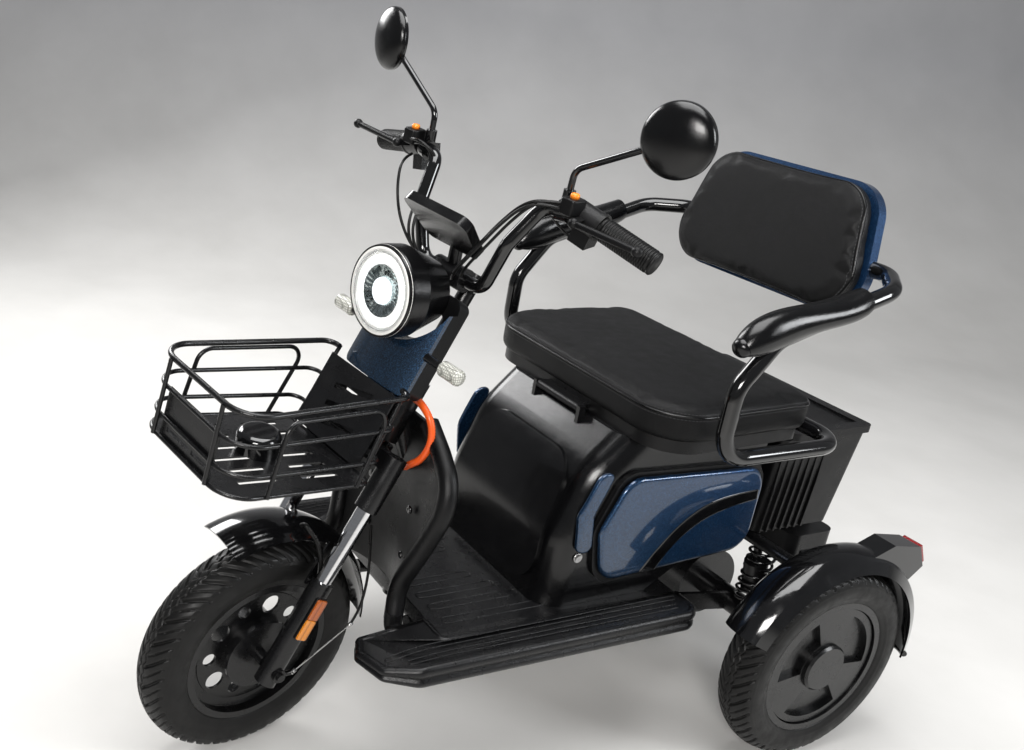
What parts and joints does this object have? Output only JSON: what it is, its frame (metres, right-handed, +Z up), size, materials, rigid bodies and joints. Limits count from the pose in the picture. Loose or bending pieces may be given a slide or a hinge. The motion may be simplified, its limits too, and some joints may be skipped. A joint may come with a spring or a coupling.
{
  "type": "electric mobility trike",
  "caption": "Three wheeled electric mobility scooter, parked with bars turned: wire basket, round headlight, padded seat with arms and backrest, lidded rear box.",
  "frame": {"origin": "on the ground, midway between the sides and midway along the whole length", "axes": "+X to the rider's left, +Y to the rear, +Z up; the vehicle drives towards -Y"},
  "size_m": [0.768, 1.413, 1.2206],
  "materials": {
    "amber": "amber",
    "black_leather": "grained",
    "black_plastic": "fine moulded grain",
    "bright_steel": "polished",
    "gloss_black": "gloss",
    "gloss_black_tube": "gloss black paint",
    "lamp_clear": "clear",
    "lens_red": "red",
    "mirror": "mirror",
    "paint_blue": "metallic blue paint",
    "painted_steel": "satin black powder coat",
    "rubber_black": "matt",
    "tyre_black": "matt",
    "wheel_black": "satin black",
    "zinc_steel": "plain zinc plate"
  },
  "bodies": {
    "frame": {"armrest_frame": "gloss_black_tube", "armrest_pads": "black_plastic", "backrest_cushion": "black_leather", "backrest_shell": "paint_blue", "battery": "black_plastic", "footboard": "black_plastic", "front_cover": "black_plastic", "head_tube": "painted_steel", "leg_shield": "black_plastic", "lower_cover": "black_plastic", "main_frame": "painted_steel", "rear_axle": "painted_steel", "rear_box": "black_plastic", "rear_fenders": "gloss_black", "rear_shocks": "zinc_steel", "seat_box": "black_plastic", "seat_hinge": "painted_steel", "side_accents": "paint_blue", "side_panels": "paint_blue", "side_trims": "black_plastic", "tail_lamps": "lens_red"},
    "steering": {"basket_bowl": "gloss_black", "basket_bracket": "painted_steel", "basket_pan": "painted_steel", "basket_plates": "painted_steel", "basket_wires": "painted_steel", "brake_plate": "painted_steel", "display": "black_plastic", "fork_crown": "painted_steel", "fork_reflectors": "amber", "fork_sliders": "painted_steel", "fork_stanchions": "bright_steel", "front_fender": "gloss_black", "front_panel": "paint_blue", "grips": "rubber_black", "hand_controls": "black_plastic", "handlebar": "gloss_black_tube", "headlight_housing": "black_plastic", "headlight_lens": "lamp_clear", "mirror_glasses": "mirror", "mirrors": "gloss_black", "panel_backing": "black_plastic", "signal_lenses": "lamp_clear", "signal_stalks": "painted_steel"},
    "front_wheel": {"front_rim": "wheel_black", "front_tyre": "tyre_black"},
    "rear_wheel_left": {"rear_rim_left": "wheel_black", "rear_tyre_left": "tyre_black"},
    "rear_wheel_right": {"rear_rim_right": "wheel_black", "rear_tyre_right": "tyre_black"},
    "seat": {"seat_cushion": "black_leather", "seat_pan": "black_plastic"},
    "lid": {"box_lid": "black_plastic"}
  },
  "joints": [
    {"name": "steering_turn", "type": "hinge", "parent": "frame", "child": "steering", "pos_m": [0, -0.28311, 0.6], "axis": [0, 0.4423, 0.8969], "range_deg": [-50.2, 25.8]},
    {"name": "front_wheel_spin", "type": "hinge", "parent": "steering", "child": "front_wheel", "pos_m": [0.00703, -0.51533, 0.20267], "axis": [0.9774, 0.1895, -0.0935], "continuous": true},
    {"name": "rear_left_spin", "type": "hinge", "parent": "frame", "child": "rear_wheel_left", "pos_m": [0.34, 0.46, 0.195], "axis": [1, 0, 0], "continuous": true},
    {"name": "rear_right_spin", "type": "hinge", "parent": "frame", "child": "rear_wheel_right", "pos_m": [-0.34, 0.46, 0.195], "axis": [1, 0, 0], "continuous": true},
    {"name": "seat_hinge_turn", "type": "hinge", "parent": "frame", "child": "seat", "pos_m": [0, 0.05, 0.607], "axis": [1, 0, 0], "range_deg": [0, 70]},
    {"name": "lid_hinge_turn", "type": "hinge", "parent": "frame", "child": "lid", "pos_m": [0, 0.442, 0.5653], "axis": [1, 0, 0], "range_deg": [0, 60]}
  ]
}
